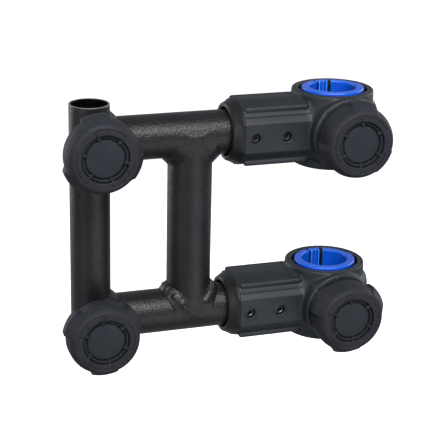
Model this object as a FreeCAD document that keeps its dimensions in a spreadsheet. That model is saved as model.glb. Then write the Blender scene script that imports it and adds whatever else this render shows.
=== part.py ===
"""Pole arm with two leg clamps: a welded tube frame, two moulded clamps and four clamp knobs.

Frame: origin on the leg axis at the height of the lower horizontal tube, +X from the pole
receiver towards the leg, -Y towards the knobs, +Z up.  Every length is in millimetres.
"""
import FreeCAD, Part
import os
import re
import Sketcher

SIZES = {
    # frame
    "pole_offset": 158.0,  # leg axis to pole receiver axis
    "strut_offset": 94.0,  # leg axis to strut axis
    "tube_spacing": 116.0,  # lower to upper horizontal tube axis
    "tube_r": 14.0,  # outside radius of the horizontal tubes
    "tube_wall": 1.5,
    "strut_r": 14.0,
    "receiver_r": 12.5,  # outside radius of the pole receiver
    "receiver_wall": 1.2,
    "receiver_over": 23.5,  # receiver beyond each horizontal tube's axis
    "strut_weld": 5.0,  # leg length of the strut's fillet welds
    "receiver_weld": 4.0,
    "weld_toe": 0.6,  # thickness left at the edges of a bead
    "weld_flank": 2.5,  # how far a bead stands off the flank of a tube
    "boss_r": 8.0,  # welded threaded boss on the receiver
    "boss_weld": 2.0,
    # leg clamp
    "leg_r": 15.0,  # radius of the seat-box leg
    "insert_wall": 4.5,
    "insert_gap": 0.3,  # radial clearance between insert and ring
    "rim_wall": 6.2,  # ring wall at its top rim
    "band_step": 3.0,  # how far the ring's middle band stands out of the rim
    "ring_half": 24.0,  # half the ring's height
    "band_half": 10.0,  # half the middle band's height
    "foot_step": 1.5,  # how much narrower the ring's foot is than its rim
    "flange_step": 1.5,  # insert flange beyond its sleeve
    "flange_thick": 3.0,
    "flange_proud": 1.0,  # flange above the ring's rim
    "flange_sweep": 200.0,  # angle of the flange, centred on the knob side
    "slot_width": 1.6,
    "slot_angle": 15.0,  # each slot from the middle of the tongue
    "slot_floor": 9.0,  # wall left under the slots
    "barrel_y": 21.5,  # axis to the barrel's front flat
    "barrel_z": 21.0,  # axis to the barrel's top flat
    "front_half": 9.0,  # half the height of the front flat
    "top_half": 4.5,  # half the width of the top flat
    "facet_y": 14.2,
    "facet_z": 17.2,
    "border_y": 19.2,
    "border_z": 12.2,
    "barrel_end": 65.0,  # leg axis to the barrel's open end
    "socket_gap": 0.1,  # radial clearance of a tube in its barrel
    "socket_floor": 1.0,  # ring band to the end of the socket
    "rib_r": 1.2,
    "groove_r": 0.8,
    "cheek_r": 23.0,  # round pad that carries the knob boss
    "nose_r": 11.0,  # moulded boss around the captive nut
    "collar_length": 7.0,
    "collar_lip": 2.2,  # collar's wall at its open end
    "collar_gap": 1.3,  # open gap between collar and tube
    "spigot_wall": 1.6,
    "spigot_length": 3.0,
    "screw_pitch": 20.4,  # between the two set screws
    "screw_first": 38.1,  # leg axis to the nearer set screw
    "screw_r": 3.0,
    "screw_length": 6.0,
    "screw_socket": 3.0,  # hexagon socket across flats
    "socket_depth": 2.8,
    # knobs
    "thread_pitch": 1.25,
    "thread_r": 4.0,
    "thread_gap": 0.05,  # radial running clearance in nuts and bosses
    "hole_gap": 0.4,  # radial clearance of plain stud holes
    "clamp_turns": 1.0,  # knob turns that close a leg clamp
    "pole_turns": 2.0,  # knob turns that close the pole receiver
    "tip_recess": 0.35,  # open tip behind the receiver's inner wall
    "knob_gap": 0.5,  # closed knob off the ring's band
    "knob_r": 22.6,  # between the lobes
    "lobe_step": 2.6,
    "lobe_sweep": 42.0,
    "lobe_count": 3,
    "turn_pole_upper": 99.0,  # angle of each knob's first lobe, open
    "turn_pole_lower": 30.0,
    "turn_leg_upper": 82.0,
    "turn_leg_lower": 28.0,
    "knob_height": 20.0,
    "brow_height": 13.5,  # where the dome starts
    "crest_r": 18.6,
    "crest_width": 1.3,
    "hub_r": 19.5,
    "hub_height": 14.0,
    "skirt_lift": 4.2,
    "hollow_r": 12.5,
    "nose_entry": 2.4,  # boss inside the hollow of the open knob
    "hollow_spare": 0.6,
    "cap_r": 12.6,
    "cap_thick": 2.0,
    "cap_sink": 1.2,  # cap below the knob's crest
    "moat_depth": 1.9,  # ring groove below the crest
    "bolt_flats": 13.0,
    "head_height": 5.3,
    "nut_height": 6.5,
    "nut_cover": 1.0,
    "dog_r": 1.8,
    "dog_gap": 0.07,
    "tip_r": 3.2,
    "tip_length": 4.0,
    "tip_floor": 1.0,
}

DERIVED = {
    "insert_r": "leg_r + insert_wall",
    "ring_bore_r": "insert_r + insert_gap",
    "rim_r": "ring_bore_r + rim_wall",
    "band_r": "rim_r + band_step",
    "foot_r": "rim_r - foot_step",
    "flange_r": "insert_r + flange_step",
    "ring_seat": "ring_half + flange_proud - flange_thick",
    "tube_end": "band_r + socket_floor",
    "socket_r": "tube_r + socket_gap",
    "collar_bore_r": "tube_r + collar_gap",
    "collar_tip_r": "collar_bore_r + collar_lip",
    "spigot_r": "collar_bore_r + spigot_wall",
    "lobe_r": "knob_r + lobe_step",
    "pole_r": "receiver_r - receiver_wall",
    "clamp_travel": "thread_pitch * clamp_turns",
    "leg_knob_y": "band_r + knob_gap + clamp_travel",
    "leg_tip_y": "ring_bore_r + clamp_travel",
    "stud_reach": "leg_knob_y - leg_tip_y",
    "pole_knob_y": "pole_r + tip_recess + stud_reach",
    "hollow_depth": "nose_entry + thread_pitch * pole_turns + hollow_spare",
    "nut_r": "thread_r + thread_gap",
    "hole_r": "thread_r + hole_gap",
    "hex_r": "bolt_flats / sqrt(3)",
    "nut_back": "leg_knob_y + nose_entry - nut_cover - nut_height",
    "head_floor": "hollow_depth + tip_length - tip_floor",
    "cap_top": "knob_height - cap_sink",
    "cap_floor": "cap_top - cap_thick",
}

ALIASES = set(SIZES) | set(DERIVED)
CLAMP_LEVELS = {"lower": "0", "upper": "tube_spacing"}
TURN_Z_TO_X = FreeCAD.Rotation(FreeCAD.Vector(0, 1, 0), 90)
TURN_Z_TO_FRONT = FreeCAD.Rotation(FreeCAD.Vector(1, 0, 0), 90)

doc = FreeCAD.newDocument("PoleArm")
nodes = {}


def linked(text):
    """The expression text with every size name pointing into the spreadsheet."""
    return re.sub(r"[a-z]+(?:_[a-z]+)+", lambda found: prefixed(found.group()), text)


def prefixed(word):
    return "Sizes." + word if word in ALIASES else word


def make_sheet():
    sheet = doc.addObject("Spreadsheet::Sheet", "Sizes")
    row = 0
    for alias, value in SIZES.items():
        row += 1
        sheet.set("A%d" % row, alias)
        sheet.set("B%d" % row, str(value))
        sheet.setAlias("B%d" % row, alias)
    for alias, formula in DERIVED.items():
        row += 1
        sheet.set("A%d" % row, alias)
        sheet.set("B%d" % row, "=" + formula)
        sheet.setAlias("B%d" % row, alias)
    doc.recompute()
    return sheet


def bind(thing, **formulas):
    """Bind properties of a document object to sizes."""
    for name, formula in formulas.items():
        thing.setExpression(name, linked(formula))
    return thing


def place(thing, at=("0", "0", "0"), rotation=None):
    """Turn an object and bind its position to sizes."""
    if rotation:
        thing.Placement = FreeCAD.Placement(FreeCAD.Vector(), rotation)
    for letter, formula in zip("xyz", at):
        thing.setExpression("Placement.Base." + letter, linked(formula))
    return thing


def cylinder(name, radius, height, at=("0", "0", "0"), rotation=None):
    thing = doc.addObject("Part::Cylinder", name)
    return place(bind(thing, Radius=radius, Height=height), at, rotation)


def box(name, length, width, height, at):
    thing = doc.addObject("Part::Box", name)
    return place(bind(thing, Length=length, Width=width, Height=height), at)


def cone(name, base, top, height, at, rotation=None):
    thing = doc.addObject("Part::Cone", name)
    return place(bind(thing, Radius1=base, Radius2=top, Height=height), at, rotation)


def prism(name, radius, height, at=("0", "0", "0"), rotation=None):
    thing = doc.addObject("Part::Prism", name)
    thing.Polygon = 6
    return place(bind(thing, Circumradius=radius, Height=height), at, rotation)


def fuse(name, shapes):
    if len(shapes) == 1:
        return shapes[0]
    thing = doc.addObject("Part::MultiFuse", name)
    thing.Shapes = shapes
    return thing


def cut(name, base, tools):
    thing = doc.addObject("Part::Cut", name)
    thing.Base = base
    thing.Tool = fuse(name + "_tools", tools)
    return thing


def common(name, shapes):
    thing = doc.addObject("Part::MultiCommon", name)
    thing.Shapes = shapes
    return thing


def outline(body, name, role, points):
    """A closed sketch of straight lines whose corners are bound to sizes."""
    sketch = body.newObject("Sketcher::SketchObject", name)
    plane = [item for item in body.Origin.OriginFeatures if item.Role == role][0]
    sketch.AttachmentSupport = (plane, [""])
    sketch.MapMode = "FlatFace"
    count = len(points)
    corners = [FreeCAD.Vector(count + index, index * index + 1, 0) for index in range(count)]
    for index in range(count):
        line = Part.LineSegment(corners[index], corners[(index + 1) % count])
        sketch.addGeometry(line)
    for index in range(count):
        after = (index + 1) % count
        sketch.addConstraint(Sketcher.Constraint("Coincident", index, 2, after, 1))
    for index, (across, along) in enumerate(points):
        hold(sketch, index, "DistanceX", -2, across, corners[index].x)
        hold(sketch, index, "DistanceY", -1, along, corners[index].y)
    return sketch


def hold(sketch, corner, kind, axis, formula, start):
    """Fix one coordinate of a sketch corner: on an axis, or at a bound distance."""
    if formula == "0":
        sketch.addConstraint(Sketcher.Constraint("PointOnObject", corner, 1, axis))
        return
    number = sketch.addConstraint(Sketcher.Constraint(kind, -1, 1, corner, 1, start))
    sketch.setExpression("Constraints[%d]" % number, linked(formula))


def turned(name, points):
    """A PartDesign body revolved about Z from (radius, height) corners."""
    body = doc.addObject("PartDesign::Body", name)
    sketch = outline(body, name + "_profile", "XZ_Plane", points)
    revolution = body.newObject("PartDesign::Revolution", name + "_turn")
    revolution.Profile = sketch
    revolution.ReferenceAxis = (sketch, ["V_Axis"])
    revolution.Angle = 360
    body.Tip = revolution
    return body


def keep(thing, label):
    """Register a finished sub-part under its node name."""
    thing.Label = label
    nodes[label] = thing
    return thing


def x_rod(name, radius, start, length, height, side="0"):
    """A cylinder along +X from x = start."""
    return cylinder(name, radius, length, (start, side, height), TURN_Z_TO_X)


def front_rod(name, radius, near, far, along, height):
    """A cylinder towards -Y between two distances in front of the frame's plane."""
    reach = "(%s) - (%s)" % (far, near)
    return cylinder(name, radius, reach, (along, "-(%s)" % near, height), TURN_Z_TO_FRONT)


# ---------------------------------------------------------------- welded frame


def receiver_tube():
    low = "-receiver_over"
    length = "tube_spacing + 2 * receiver_over"
    outer = cylinder("receiver_outer", "receiver_r", length, ("-pole_offset", "0", low))
    tools = [cylinder("receiver_bore", "pole_r", length, ("-pole_offset", "0", low))]
    for level, height in CLAMP_LEVELS.items():
        name = "receiver_hole_" + level
        tools.append(front_rod(name, "hole_r", "0", "receiver_r + 1", "-pole_offset", height))
    keep(cut("receiver", outer, tools), "receiver_tube")


def boss_relief(name, height):
    """Room for the threaded boss and its bead in the pieces around the receiver."""
    return front_rod(name, "boss_r + boss_weld", "0", "2 * receiver_r", "-pole_offset", height)


def horizontal_tube(level, height):
    length = "pole_offset - tube_end"
    outer = x_rod("tube_outer_" + level, "tube_r", "-pole_offset", length, height)
    bore = x_rod("tube_bore_" + level, "tube_r - tube_wall", "-pole_offset", length, height)
    cope = cylinder(
        "tube_cope_" + level,
        "receiver_r",
        "4 * tube_r",
        ("-pole_offset", "0", height + " - 2 * tube_r"),
    )
    relief = boss_relief("tube_relief_" + level, height)
    keep(cut("tube_" + level, outer, [bore, cope, relief]), level + "_tube")


def strut_tube():
    place_at = ("-strut_offset", "0", "0")
    outer = cylinder("strut_outer", "strut_r", "tube_spacing", place_at)
    tools = [cylinder("strut_bore", "strut_r - tube_wall", "tube_spacing", place_at)]
    for level, height in CLAMP_LEVELS.items():
        start = "-strut_offset - 2 * strut_r"
        tools.append(x_rod("strut_cope_" + level, "tube_r", start, "4 * strut_r", height))
    keep(cut("strut", outer, tools), "strut_tube")


def strut_weld(level, height, low, upside_down):
    """Fillet bead between the strut and a horizontal tube, on the strut's side of its axis."""
    name = "weld_strut_" + level
    reach = "tube_r + strut_weld"
    spread = "strut_r + strut_weld + tube_r"
    neck = "strut_r + weld_toe"
    ends = (neck, spread) if upside_down else (spread, neck)
    axis = ("-strut_offset", "0", low)
    start = "-strut_offset - 2 * strut_r"
    slope = cone(name + "_a", ends[0], ends[1], reach, axis)
    around_tube = x_rod(name + "_b", reach + " + weld_toe", start, "4 * strut_r", height)
    slab = box(
        name + "_c",
        "4 * strut_r",
        "2 * (tube_r + weld_flank)",
        reach,
        (start, "-(tube_r + weld_flank)", low),
    )
    around_strut = cylinder(name + "_f", "strut_r + strut_weld", reach, axis)
    bead = common(name + "_bead", [slope, around_tube, around_strut, slab])
    inside_strut = cylinder(name + "_d", "strut_r", reach, axis)
    inside_tube = x_rod(name + "_e", "tube_r", start, "4 * strut_r", height)
    keep(cut(name + "_cut", bead, [inside_strut, inside_tube]), name)


def receiver_weld(level, height):
    """Fillet bead between a horizontal tube and the pole receiver."""
    name = "weld_receiver_" + level
    low = height + " - 2 * tube_r"
    reach = "receiver_r + receiver_weld"
    spread = "tube_r + receiver_weld + receiver_r"
    at = ("-pole_offset", "0", height)
    slope = cone(name + "_a", spread, "tube_r + weld_toe", reach, at, TURN_Z_TO_X)
    shell = reach + " + weld_toe"
    around_pole = cylinder(name + "_b", shell, "4 * tube_r", ("-pole_offset", "0", low))
    sleeve = "tube_r + receiver_weld"
    around_tube = x_rod(name + "_c", sleeve, "-pole_offset", reach, height)
    bead = common(name + "_bead", [slope, around_pole, around_tube])
    inside_tube = x_rod(name + "_d", "tube_r", "-pole_offset - 1", reach + " + 2", height)
    inside_pole = cylinder(name + "_e", "receiver_r", "4 * tube_r", ("-pole_offset", "0", low))
    relief = boss_relief(name + "_relief", height)
    keep(cut(name + "_cut", bead, [inside_tube, inside_pole, relief]), name)


def threaded_boss(level, height):
    """Steel boss on the receiver, tapped for the knob's stud, and its weld bead."""
    name = "boss_" + level
    low = height + " - 2 * boss_r"
    nose = "pole_knob_y + nose_entry"
    outer = front_rod(name + "_a", "boss_r", "pole_r", nose, "-pole_offset", height)
    thread = front_rod(name + "_b", "nut_r", "0", nose + " + 1", "-pole_offset", height)
    pole = cylinder(name + "_c", "receiver_r", "4 * boss_r", ("-pole_offset", "0", low))
    keep(cut(name + "_cut", outer, [thread, pole]), name)
    bead = "weld_" + name
    reach = "receiver_r + boss_weld"
    disc = front_rod(bead + "_a", "boss_r + boss_weld", "0", reach, "-pole_offset", height)
    shell = cylinder(bead + "_b", reach, "4 * boss_r", ("-pole_offset", "0", low))
    ring = common(bead + "_ring", [disc, shell])
    core = front_rod(bead + "_c", "boss_r", "0", nose, "-pole_offset", height)
    post = cylinder(bead + "_d", "receiver_r", "4 * boss_r", ("-pole_offset", "0", low))
    keep(cut(bead + "_cut", ring, [core, post]), bead)


# ---------------------------------------------------------------- leg clamps


def barrel(level):
    """Many-sided barrel along X with ribs and grooves, from its open end into the ring."""
    name = "barrel_" + level
    body = doc.addObject("PartDesign::Body", name)
    quarter = [
        ("top_half", "barrel_z"),
        ("facet_y", "facet_z"),
        ("border_y", "border_z"),
        ("barrel_y", "front_half"),
    ]
    right = quarter
    low = [(across, "-" + along) for across, along in reversed(quarter)]
    left = [("-" + across, "-" + along) for across, along in quarter]
    high = [("-" + across, along) for across, along in reversed(quarter)]
    sketch = outline(body, name + "_profile", "YZ_Plane", right + low + left + high)
    pad = body.newObject("PartDesign::Pad", name + "_pad")
    pad.Profile = sketch
    bind(pad, Length="barrel_end")
    body.Tip = pad
    place(body, ("-barrel_end", "0", "0"))
    return body


def barrel_lines(level, kind, radius, across, along):
    """Four straight round-bottomed lines along the barrel, one on each shoulder."""
    lines = []
    for side in ("", "-"):
        for rise in ("", "-"):
            name = "%s_%s_%d" % (kind, level, len(lines))
            where = ("-barrel_end", side + across, rise + along)
            lines.append(cylinder(name, radius, "barrel_end - rim_r + 2", where, TURN_Z_TO_X))
    return lines


def ring_blank(level):
    name = "ring_" + level
    top = "ring_half"
    points = [
        ("0", "-" + top),
        ("foot_r", "-" + top),
        ("foot_r", "-(ring_half - 4)"),
        ("band_r", "-band_half"),
        ("band_r", "band_half"),
        ("rim_r", "ring_half - 8"),
        ("rim_r", "ring_half - 1"),
        ("rim_r - 1", top),
        ("0", top),
    ]
    return turned(name, points)


def clamp_body(level, height):
    """Moulded clamp: barrel for the tube, ring for the leg, cheek and nose for the knob."""
    name = "clamp_" + level
    nose = "leg_knob_y + nose_entry"
    solids = [barrel(level), ring_blank(level)]
    solids += barrel_lines(level, "rib", "rib_r", "(facet_y - 0.5)", "(facet_z - 0.8)")
    solids.append(front_rod(name + "_cheek", "cheek_r", "0", "band_r", "0", "0"))
    solids.append(front_rod(name + "_nose", "nose_r", "0", nose, "0", "0"))
    tall = "2 * ring_half + 2"
    deep = "-ring_half - 1"
    socket_length = "barrel_end - tube_end"
    tools = barrel_lines(level, "groove", "groove_r", "(border_y + 0.3)", "(border_z + 0.2)")
    tools.append(cylinder(name + "_bore", "ring_bore_r", tall, ("0", "0", deep)))
    tools.append(cylinder(name + "_seat", "flange_r + insert_gap", tall, ("0", "0", "ring_seat")))
    tools.append(x_rod(name + "_socket", "socket_r", "-barrel_end", socket_length, "0"))
    tools.append(x_rod(name + "_mouth", "spigot_r", "-barrel_end", "spigot_length", "0"))
    tools.append(front_rod(name + "_hole", "hole_r", "0", nose + " + 1", "0", "0"))
    at = ("0", "-nut_back", "0")
    tools.append(prism(name + "_pocket", "hex_r", "nut_height", at, TURN_Z_TO_FRONT))
    for number in range(2):
        along = "-(screw_first + %d * screw_pitch)" % number
        hole = name + "_screw_hole_%d" % number
        tools.append(front_rod(hole, "screw_r + thread_gap", "0", "barrel_y + 1", along, "0"))
    clamp = cut(name + "_cut", fuse(name + "_blank", solids), tools)
    keep(place(clamp, ("0", "0", height)), "clamp_body_" + level)


def collar(level, height):
    """Bevelled end ring, its spigot seated in the barrel's mouth."""
    name = "collar_" + level
    points = [
        ("collar_bore_r", "0"),
        ("collar_tip_r - 0.8", "0"),
        ("collar_tip_r", "0.8"),
        ("barrel_z", "collar_length - 1"),
        ("barrel_z", "collar_length"),
        ("spigot_r", "collar_length"),
        ("spigot_r", "collar_length + spigot_length"),
        ("collar_bore_r", "collar_length + spigot_length"),
    ]
    at = ("-(barrel_end + collar_length)", "0", height)
    keep(place(turned(name + "_turned", points), at, TURN_Z_TO_X), name)


def set_screws(level, height):
    """Two socket set screws that hold the barrel on its tube."""
    name = "set_screws_" + level
    screws = []
    for number in range(2):
        along = "-(screw_first + %d * screw_pitch)" % number
        point = "%s_%d" % (name, number)
        end = "tube_r + screw_length"
        shank = front_rod(point + "_shank", "screw_r", "tube_r", end, along, height)
        hexagon = prism(
            point + "_hex",
            "screw_socket / sqrt(3)",
            "socket_depth + 1",
            (along, "-(%s - socket_depth)" % end, height),
            TURN_Z_TO_FRONT,
        )
        screws.append(cut(point, shank, [hexagon]))
    group = doc.addObject("Part::Compound", name + "_group")
    group.Links = screws
    keep(group, name)


def captive_nut(level, height):
    name = "clamp_nut_" + level
    blank = prism(name + "_a", "hex_r", "nut_height", ("0", "-nut_back", height), TURN_Z_TO_FRONT)
    thread = front_rod(name + "_b", "nut_r", "0", "leg_knob_y + nose_entry + 1", "0", height)
    keep(cut(name + "_cut", blank, [thread]), name)


def leg_insert(level, height):
    """Flanged reducer sleeve with a slotted spring tongue opposite the knob."""
    name = "insert_" + level
    points = [
        ("leg_r", "-(ring_half - 0.5)"),
        ("insert_r - 1", "-(ring_half - 0.5)"),
        ("insert_r", "-(ring_half - 1.5)"),
        ("insert_r", "ring_seat"),
        ("flange_r", "ring_seat"),
        ("flange_r", "ring_half + flange_proud - 0.8"),
        ("flange_r - 0.8", "ring_half + flange_proud"),
        ("leg_r + 0.6", "ring_half + flange_proud"),
        ("leg_r", "ring_half + flange_proud - 0.6"),
    ]
    sleeve = turned(name + "_sleeve", points)
    shell = [
        cylinder(name + "_outer", "flange_r + 1", "flange_thick + 1", ("0", "0", "ring_seat")),
        cylinder(name + "_inner", "insert_r", "flange_thick + 3", ("0", "0", "ring_seat - 1")),
    ]
    relief = cut(name + "_relief", shell[0], [shell[1]])
    sector = doc.addObject("Part::Cylinder", name + "_sector")
    bind(sector, Radius="2 * flange_r", Height="4 * flange_thick", Angle="360 - flange_sweep")
    place(sector, ("0", "0", "ring_seat - 1"))
    sector.setExpression("Placement.Rotation.Angle", linked("(flange_sweep - 180) / 2"))
    tools = [common(name + "_cutaway", [relief, sector])]
    floor = "-ring_half + slot_floor"
    for side in (-1, 1):
        slot = box(
            "%s_slot_%d" % (name, side + 1),
            "2 * insert_wall + 2 * flange_step",
            "slot_width",
            "2 * ring_half",
            ("0", "0", floor),
        )
        angle = "90 + %d * slot_angle" % side
        slot.setExpression("Placement.Rotation.Angle", linked(angle))
        heading = "(leg_r - 1) * %s(" + angle + ")"
        aside = "slot_width / 2 * %s(" + angle + ")"
        across = heading % "cos" + " + " + aside % "sin"
        along = heading % "sin" + " - " + aside % "cos"
        slot.setExpression("Placement.Base.x", linked(across))
        slot.setExpression("Placement.Base.y", linked(along))
        tools.append(slot)
    keep(place(cut(name + "_cut", sleeve, tools), ("0", "0", height)), name)


# ---------------------------------------------------------------- knobs


def knob_lobes(name, key):
    """The grip's raised lobes: sectors of one turned ring."""
    root = "hub_r + 0.5"
    points = [
        (root, "skirt_lift"),
        ("lobe_r - 0.8", "skirt_lift"),
        ("lobe_r", "skirt_lift + 1.2"),
        ("lobe_r", "brow_height - 3"),
        ("knob_r - 1.4", "brow_height + 1.4"),
        (root, "brow_height + 1.4"),
    ]
    sectors = []
    for number in range(int(SIZES["lobe_count"])):
        sector = cylinder("%s_sector_%d" % (name, number), "lobe_r + 1", "knob_height")
        bind(sector, Angle="lobe_sweep")
        turn = "turn_%s + %d * 360 / lobe_count - lobe_sweep / 2" % (key, number)
        sector.setExpression("Placement.Rotation.Angle", linked(turn))
        sectors.append(sector)
    return common(name + "_lobes", [turned(name + "_lobe_ring", points), fuse(name + "_sectors", sectors)])


def knob_grip(key, at):
    """Overmoulded rubber grip with lobes around it and a domed face."""
    name = "knob_grip_" + key
    points = [
        ("hub_r", "skirt_lift"),
        ("knob_r - 0.8", "skirt_lift"),
        ("knob_r", "skirt_lift + 1.2"),
        ("knob_r", "brow_height"),
        ("crest_r + 1.6", "knob_height - 0.9"),
        ("crest_r", "knob_height"),
        ("crest_r - crest_width", "knob_height"),
        ("crest_r - crest_width - 0.5", "knob_height - moat_depth"),
        ("cap_r", "knob_height - moat_depth"),
        ("cap_r", "hub_height"),
        ("hub_r", "hub_height"),
    ]
    grip = fuse(name + "_fused", [turned(name + "_body", points), knob_lobes(name, key)])
    keep(place(grip, at, TURN_Z_TO_FRONT), name)


def knob_hub(key, at):
    """Hard core inside the grip, hollow underneath to clear the boss."""
    name = "knob_hub_" + key
    points = [
        ("hollow_r", "0"),
        ("hub_r", "0"),
        ("hub_r", "hub_height"),
        ("cap_r", "hub_height"),
        ("cap_r", "cap_floor"),
        ("0", "cap_floor"),
        ("0", "hollow_depth"),
        ("hollow_r", "hollow_depth"),
    ]
    core = turned(name + "_core", points)
    head = prism(name + "_head", "hex_r", "head_height", ("0", "0", "head_floor"))
    shank = cylinder(name + "_shank", "thread_r", "head_floor", ("0", "0", "0"))
    keep(place(cut(name + "_cut", core, [head, shank]), at, TURN_Z_TO_FRONT), name)


def knob_cap(key, at):
    """Flat disc that closes the middle of the knob's face."""
    name = "knob_cap_" + key
    points = [
        ("0", "cap_floor"),
        ("cap_r", "cap_floor"),
        ("cap_r", "cap_top - 0.4"),
        ("cap_r - 0.4", "cap_top"),
        ("0", "cap_top"),
    ]
    keep(place(turned(name + "_turned", points), at, TURN_Z_TO_FRONT), name)


def knob_stud(key, at):
    """Hexagon-headed bolt moulded into the hub, with a dog point for the tip."""
    name = "knob_stud_" + key
    shoulder = "-(stud_reach - tip_length - dog_gap)"
    points = [
        ("0", "-(stud_reach - tip_floor)"),
        ("dog_r", "-(stud_reach - tip_floor)"),
        ("dog_r", shoulder),
        ("thread_r - 0.6", shoulder),
        ("thread_r", shoulder + " + 0.6"),
        ("thread_r", "head_floor"),
        ("0", "head_floor"),
    ]
    shank = turned(name + "_shank", points)
    head = prism(name + "_head", "hex_r", "head_height", ("0", "0", "head_floor"))
    keep(place(fuse(name + "_fused", [shank, head]), at, TURN_Z_TO_FRONT), name)


def knob_tip(key, at):
    """Swivelling nylon shoe on the stud's dog point."""
    name = "knob_tip_" + key
    points = [
        ("0", "-stud_reach"),
        ("tip_r - 0.5", "-stud_reach"),
        ("tip_r", "-stud_reach + 0.5"),
        ("tip_r", "-(stud_reach - tip_length)"),
        ("dog_r + dog_gap", "-(stud_reach - tip_length)"),
        ("dog_r + dog_gap", "-(stud_reach - tip_floor)"),
        ("0", "-(stud_reach - tip_floor)"),
    ]
    keep(place(turned(name + "_turned", points), at, TURN_Z_TO_FRONT), name)


def knob(key, along, stand, height):
    at = (along, "-" + stand, height)
    knob_grip(key, at)
    knob_hub(key, at)
    knob_cap(key, at)
    knob_stud(key, at)
    knob_tip(key, at)


def build():
    make_sheet()
    receiver_tube()
    strut_tube()
    strut_weld("lower", "0", "0", False)
    strut_weld("upper", "tube_spacing", "tube_spacing - tube_r - strut_weld", True)
    for level, height in CLAMP_LEVELS.items():
        horizontal_tube(level, height)
        receiver_weld(level, height)
        threaded_boss(level, height)
        clamp_body(level, height)
        collar(level, height)
        set_screws(level, height)
        captive_nut(level, height)
        leg_insert(level, height)
        knob("pole_" + level, "-pole_offset", "pole_knob_y", height)
        knob("leg_" + level, "0", "leg_knob_y", height)
    doc.recompute()


def check():
    for thing in doc.Objects:
        broken = [state for state in thing.State if state in ("Invalid", "Error")]
        if broken:
            raise RuntimeError("%s is %s" % (thing.Name, broken))
    for label, thing in nodes.items():
        if thing.Shape.isNull() or not thing.Shape.isValid():
            raise RuntimeError("%s has no valid shape" % label)
        if not thing.Shape.Solids:
            raise RuntimeError("%s has no solid" % label)


def export():
    os.makedirs("parts", exist_ok=True)
    for label, thing in nodes.items():
        thing.Shape.exportStep("parts/%s.step" % label)
        print("%-26s %9.1f mm3 %d solid(s)" % (label, thing.Shape.Volume, len(thing.Shape.Solids)))


build()
check()
export()
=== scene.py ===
"""Looks of the offset pole arm: visual meshes, materials, stage, lights and camera.

Sizes and places are in millimetres, except in the last section, which is in metres.
"""

import math

import bpy
import numpy as np
from mathutils import Matrix, Vector


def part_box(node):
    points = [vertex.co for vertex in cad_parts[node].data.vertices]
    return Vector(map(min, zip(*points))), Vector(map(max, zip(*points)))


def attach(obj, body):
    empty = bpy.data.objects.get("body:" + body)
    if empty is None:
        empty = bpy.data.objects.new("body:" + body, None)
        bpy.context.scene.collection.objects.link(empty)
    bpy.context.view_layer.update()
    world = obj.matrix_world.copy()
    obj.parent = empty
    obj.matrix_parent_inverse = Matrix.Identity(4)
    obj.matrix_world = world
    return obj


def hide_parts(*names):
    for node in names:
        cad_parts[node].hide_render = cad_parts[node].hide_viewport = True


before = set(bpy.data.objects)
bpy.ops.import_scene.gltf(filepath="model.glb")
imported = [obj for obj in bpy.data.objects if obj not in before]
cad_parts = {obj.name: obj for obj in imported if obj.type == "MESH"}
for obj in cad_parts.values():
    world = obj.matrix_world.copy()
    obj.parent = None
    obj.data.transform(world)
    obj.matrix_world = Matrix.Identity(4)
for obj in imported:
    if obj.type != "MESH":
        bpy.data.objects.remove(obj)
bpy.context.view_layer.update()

TAU = 2 * math.pi
MM = 0.001
LEVELS = {"lower": 0.0, "upper": 116.0}  # heights of the horizontal tubes
MID_Z = LEVELS["upper"] / 2
POLE_X = -158.0  # the pole receiver's axis
POLE_R = 12.5
POLE_BORE = 11.3
POLE_BEYOND = 23.5  # receiver past the axes of the horizontal tubes
RIM_Z = LEVELS["upper"] + POLE_BEYOND
BOSS_R = 8.0  # the knob bosses on the receiver
BOSS_BORE = 4.05
BOSS_END = 23.75
STRUT_X = -94.0
TUBE_R = 14.0
TUBE_BORE = 12.5
TUBE_END = -30.0  # where a horizontal tube stops inside its clamp
RING_H = 24.0  # half the height of a clamp ring
LEG_R = 15.0
KNOB_FEET = {"pole": (POLE_X, -21.35), "leg": (0.0, -30.75)}  # x and y of the hubs' feet
FIRST_LOBES = {"pole_upper": 99.0, "pole_lower": 30.0, "leg_upper": 82.0, "leg_lower": 28.0}  # degrees
RNG = np.random.default_rng(7)


# ---------------------------------------------------------------- mesh from a distance field


def smooth_max(a, b, k):
    """The larger of two distances, the edge between them rounded over k."""
    h = np.maximum(k - np.abs(a - b), 0.0) / k
    return np.maximum(a, b) + h * h * k / 4


def smooth_min(a, b, k):
    return -smooth_max(-a, -b, k)


def ramp(x, a, b):
    """0 before a, 1 after b, smooth between."""
    t = np.clip((x - a) / (b - a), 0.0, 1.0)
    return t * t * (3 - 2 * t)


def soft_profile(z, stations, radii, spread):
    """Radius at z along straight runs whose corners are rounded over spread."""
    total = 0.0
    for k in (-1.0, -0.5, 0.0, 0.5, 1.0):
        total = total + np.interp(z + k * spread, stations, radii)
    return total / 5


def capsule(x, y, z, x0, x1, y0, z0, r):
    """Rod along X with round ends."""
    dx = np.maximum(np.maximum(x0 - x, x - x1), 0.0)
    return np.sqrt(dx * dx + (y - y0) ** 2 + (z - z0) ** 2) - r


def gradient(shape, points):
    """Slope of shape at each of the points."""
    e = 0.02
    x, y, z = points.T
    gx = shape(x + e, y, z) - shape(x - e, y, z)
    gy = shape(x, y + e, z) - shape(x, y - e, z)
    gz = shape(x, y, z + e) - shape(x, y, z - e)
    return np.stack([gx, gy, gz], 1) / (2 * e)


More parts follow.
